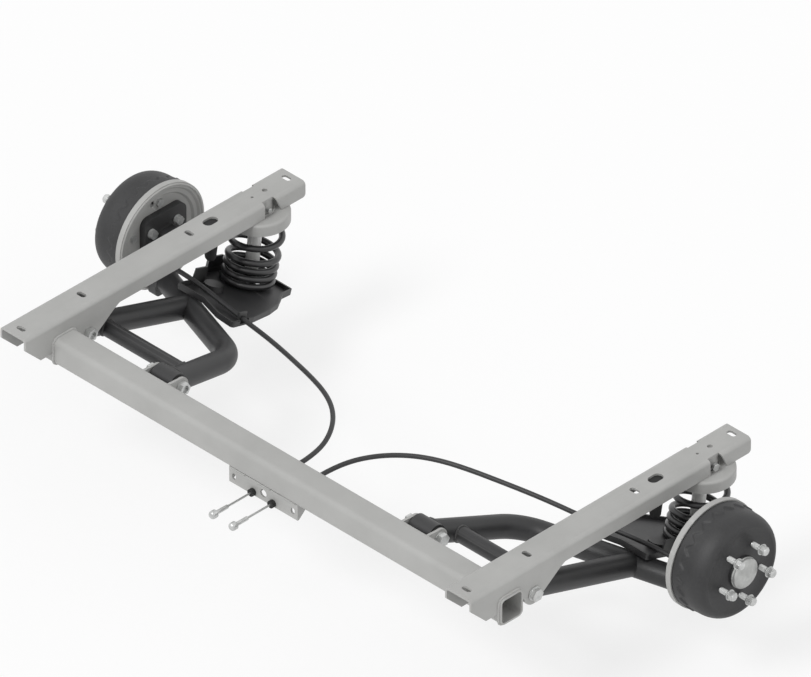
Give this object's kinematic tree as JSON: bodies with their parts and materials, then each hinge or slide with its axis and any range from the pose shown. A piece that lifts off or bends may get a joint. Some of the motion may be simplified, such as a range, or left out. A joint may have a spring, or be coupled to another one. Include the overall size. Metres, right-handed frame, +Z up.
{
  "type": "trailing-arm coil-spring trailer suspension unit",
  "caption": "Independent trailing-arm trailer suspension on a cross beam and chassis rails, with coil springs, dampers, braked hubs and brake cables.",
  "frame": {"origin": "middle of the four outer chassis slots, on the plane of the rails' top faces", "axes": "+X to the right along the cross beam, +Y to the rear along the rails, +Z up"},
  "size_m": [1.73, 0.795, 0.277],
  "materials": {
    "frame_paint": "satin light grey zinc-rich paint",
    "arm_black": "satin black paint",
    "spring_black": "black powder coat",
    "drum_iron": "cast iron",
    "bright_zinc": "zinc plated",
    "cap_metal": "pressed cap",
    "bush_rubber": "moulded rubber",
    "cable_sheath": "plastic sheath",
    "gland_plastic": "moulded",
    "dust_tube_white": "gloss white paint",
    "shoe_lining": "friction lining on steel"
  },
  "bodies": {
    "chassis_frame": {"cross_beam": "frame_paint", "rail_right": "frame_paint", "rail_left": "frame_paint", "inner_lugs": "frame_paint", "pivot_bolts": "bright_zinc", "pivot_sleeves": "bright_zinc", "spring_cup_right": "frame_paint", "spring_cup_left": "frame_paint", "bump_stop_right": "bush_rubber", "bump_stop_left": "bush_rubber", "damper_top_bolts": "bright_zinc", "cable_bracket": "frame_paint", "cable_glands": "gland_plastic", "brake_cable_right": "cable_sheath", "brake_cable_left": "cable_sheath"},
    "arm_right": {"arm_bent_tube_right": "arm_black", "arm_outer_tube_right": "arm_black", "arm_brace_right": "arm_black", "pivot_housings_right": "arm_black", "pivot_bushes_right": "bush_rubber", "spring_tray_right": "arm_black", "stub_axle_right": "arm_black", "backing_plate_right": "frame_paint", "arm_bolts_right": "bright_zinc", "brake_expander_right": "bright_zinc", "axle_nut_right": "bright_zinc", "coil_spring_right": "spring_black", "cable_tail_right": "cable_sheath"},
    "hub_right": {"brake_drum_right": "drum_iron", "wheel_bearing_right": "bright_zinc", "hub_cap_right": "cap_metal", "wheel_bolts_right": "bright_zinc"},
    "damper_top_right": {"damper_upper_right": "dust_tube_white"},
    "damper_rod_right": {"damper_lower_right": "spring_black"},
    "shoe_front_right": {"brake_shoe_front_right": "shoe_lining"},
    "shoe_rear_right": {"brake_shoe_rear_right": "shoe_lining"},
    "cable_pull_right": {"cable_inner_right": "bright_zinc"},
    "arm_left": {"arm_bent_tube_left": "arm_black", "arm_outer_tube_left": "arm_black", "arm_brace_left": "arm_black", "pivot_housings_left": "arm_black", "pivot_bushes_left": "bush_rubber", "spring_tray_left": "arm_black", "stub_axle_left": "arm_black", "backing_plate_left": "frame_paint", "arm_bolts_left": "bright_zinc", "brake_expander_left": "bright_zinc", "axle_nut_left": "bright_zinc", "coil_spring_left": "spring_black", "cable_tail_left": "cable_sheath"},
    "hub_left": {"brake_drum_left": "drum_iron", "wheel_bearing_left": "bright_zinc", "hub_cap_left": "cap_metal", "wheel_bolts_left": "bright_zinc"},
    "damper_top_left": {"damper_upper_left": "dust_tube_white"},
    "damper_rod_left": {"damper_lower_left": "spring_black"},
    "shoe_front_left": {"brake_shoe_front_left": "shoe_lining"},
    "shoe_rear_left": {"brake_shoe_rear_left": "shoe_lining"},
    "cable_pull_left": {"cable_inner_left": "bright_zinc"}
  },
  "joints": [
    {"name": "arm_swing_right", "type": "hinge", "parent": "chassis_frame", "child": "arm_right", "pos_m": [0.6044, -0.2135, -0.0656], "axis": [1, 0, 0], "range_deg": [0, 8.4], "deforming": ["coil_spring_right"]},
    {"name": "wheel_spin_right", "type": "hinge", "parent": "arm_right", "child": "hub_right", "pos_m": [0.8, 0.1545, -0.1046], "axis": [1, 0, 0], "continuous": true},
    {"name": "damper_swing_right", "type": "hinge", "parent": "chassis_frame", "child": "damper_top_right", "pos_m": [0.6044, 0.2815, -0.024], "axis": [1, 0, 0], "range_deg": [-6, 6]},
    {"name": "damper_slide_right", "type": "slide", "parent": "damper_top_right", "child": "damper_rod_right", "axis": [0, 0.1318, 0.9913], "range_m": [0, 0.08]},
    {"name": "cable_pull_right", "type": "slide", "parent": "chassis_frame", "child": "cable_pull_right", "axis": [0, -1, 0], "range_m": [0, 0.02], "stiffness_N_per_m": 200},
    {"name": "shoe_front_right", "type": "hinge", "parent": "arm_right", "child": "shoe_front_right", "pos_m": [0.7835, 0.1325, -0.0286], "axis": [1, 0, 0], "range_deg": [-1, 0]},
    {"name": "shoe_rear_right", "type": "hinge", "parent": "arm_right", "child": "shoe_rear_right", "pos_m": [0.7835, 0.1765, -0.0286], "axis": [1, 0, 0], "range_deg": [0, 1]},
    {"name": "arm_swing_left", "type": "hinge", "parent": "chassis_frame", "child": "arm_left", "pos_m": [-0.6044, -0.2135, -0.0656], "axis": [1, 0, 0], "range_deg": [0, 8.4], "deforming": ["coil_spring_left"]},
    {"name": "wheel_spin_left", "type": "hinge", "parent": "arm_left", "child": "hub_left", "pos_m": [-0.8, 0.1545, -0.1046], "axis": [1, 0, 0], "continuous": true},
    {"name": "damper_swing_left", "type": "hinge", "parent": "chassis_frame", "child": "damper_top_left", "pos_m": [-0.6044, 0.2815, -0.024], "axis": [1, 0, 0], "range_deg": [-6, 6]},
    {"name": "damper_slide_left", "type": "slide", "parent": "damper_top_left", "child": "damper_rod_left", "axis": [0, 0.1318, 0.9913], "range_m": [0, 0.08]},
    {"name": "cable_pull_left", "type": "slide", "parent": "chassis_frame", "child": "cable_pull_left", "axis": [0, -1, 0], "range_m": [0, 0.02], "stiffness_N_per_m": 200},
    {"name": "shoe_front_left", "type": "hinge", "parent": "arm_left", "child": "shoe_front_left", "pos_m": [-0.7835, 0.1325, -0.0286], "axis": [1, 0, 0], "range_deg": [-1, 0]},
    {"name": "shoe_rear_left", "type": "hinge", "parent": "arm_left", "child": "shoe_rear_left", "pos_m": [-0.7835, 0.1765, -0.0286], "axis": [1, 0, 0], "range_deg": [0, 1]}
  ],
  "couplings": [
    {"joint": "damper_swing_right", "follows": "arm_swing_right", "ratio": 0.5468},
    {"joint": "damper_slide_right", "follows": "arm_swing_right", "m_per_rad": 0.4889},
    {"joint": "shoe_front_right", "follows": "cable_pull_right", "rad_per_m": -0.5236},
    {"joint": "shoe_rear_right", "follows": "cable_pull_right", "rad_per_m": 0.5236},
    {"joint": "damper_swing_left", "follows": "arm_swing_left", "ratio": 0.5468},
    {"joint": "damper_slide_left", "follows": "arm_swing_left", "m_per_rad": 0.4889},
    {"joint": "shoe_front_left", "follows": "cable_pull_left", "rad_per_m": -0.5236},
    {"joint": "shoe_rear_left", "follows": "cable_pull_left", "rad_per_m": 0.5236}
  ]
}
